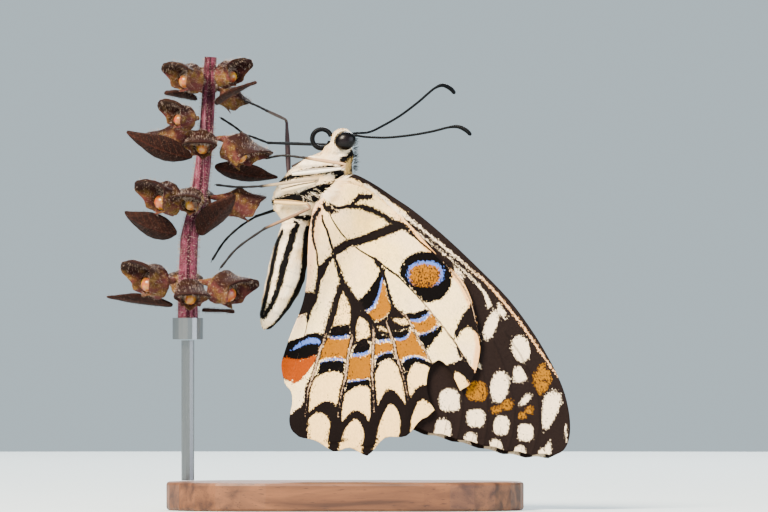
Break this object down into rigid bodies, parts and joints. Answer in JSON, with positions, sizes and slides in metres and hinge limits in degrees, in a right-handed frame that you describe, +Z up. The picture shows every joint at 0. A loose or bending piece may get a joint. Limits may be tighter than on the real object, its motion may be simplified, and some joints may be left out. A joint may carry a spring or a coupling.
{
  "type": "chequered swallowtail butterfly model",
  "caption": "Life-size butterfly with closed wings, clinging head up to a cut flowering basil stem on a small display stand.",
  "frame": {"origin": "centre of the stand's underside", "axes": "+Z up; +X from the stem towards the wing tips; the butterfly's left side faces -Y"},
  "size_m": [0.065, 0.028, 0.0635],
  "materials": {
    "wing_scales": "matt, cream with near-black, orange and blue scales",
    "body_scales": "soft hair and scales, cream with black stripes",
    "compound_eye": "glossy, finely faceted",
    "dark_cuticle": "satin",
    "leg_scales": "fine scales, cream to brown",
    "basil_stem": "satin, purple, finely hairy",
    "basil_calyx": "satin, ochre to purple brown, hairy",
    "basil_bract": "satin, dark purple brown",
    "oiled_walnut": "oiled, satin",
    "brushed_steel": "brushed"
  },
  "bodies": {
    "root": {"abdomen": "body_scales", "antenna_left": "dark_cuticle", "antenna_right": "dark_cuticle", "bract_1_left": "basil_bract", "bract_1_right": "basil_bract", "bract_2_left": "basil_bract", "bract_2_right": "basil_bract", "bract_3_left": "basil_bract", "bract_3_right": "basil_bract", "bract_4_left": "basil_bract", "bract_4_right": "basil_bract", "calyx_1_back": "basil_calyx", "calyx_1_front": "basil_calyx", "calyx_1_left": "basil_calyx", "calyx_1_right": "basil_calyx", "calyx_2_back": "basil_calyx", "calyx_2_front": "basil_calyx", "calyx_2_left": "basil_calyx", "calyx_2_right": "basil_calyx", "calyx_3_back": "basil_calyx", "calyx_3_front": "basil_calyx", "calyx_3_left": "basil_calyx", "calyx_3_right": "basil_calyx", "calyx_4_back": "basil_calyx", "calyx_4_front": "basil_calyx", "calyx_4_left": "basil_calyx", "calyx_4_right": "basil_calyx", "eye_left": "compound_eye", "eye_right": "compound_eye", "forewing_left": "wing_scales", "forewing_right": "wing_scales", "head": "body_scales", "hindwing_left": "wing_scales", "hindwing_right": "wing_scales", "leg_fore_left_femur": "leg_scales", "leg_fore_left_tarsus": "leg_scales", "leg_fore_left_tibia": "leg_scales", "leg_fore_right_femur": "leg_scales", "leg_fore_right_tarsus": "leg_scales", "leg_fore_right_tibia": "leg_scales", "leg_hind_left_femur": "leg_scales", "leg_hind_left_tarsus": "leg_scales", "leg_hind_left_tibia": "leg_scales", "leg_hind_right_femur": "leg_scales", "leg_hind_right_tarsus": "leg_scales", "leg_hind_right_tibia": "leg_scales", "leg_mid_left_femur": "leg_scales", "leg_mid_left_tarsus": "leg_scales", "leg_mid_left_tibia": "leg_scales", "leg_mid_right_femur": "leg_scales", "leg_mid_right_tarsus": "leg_scales", "leg_mid_right_tibia": "leg_scales", "perch_stem": "basil_stem", "proboscis": "dark_cuticle", "prothorax": "body_scales", "stand_base": "oiled_walnut", "stand_ferrule": "brushed_steel", "stand_rod": "brushed_steel", "thorax": "body_scales"}
  },
  "joints": []
}
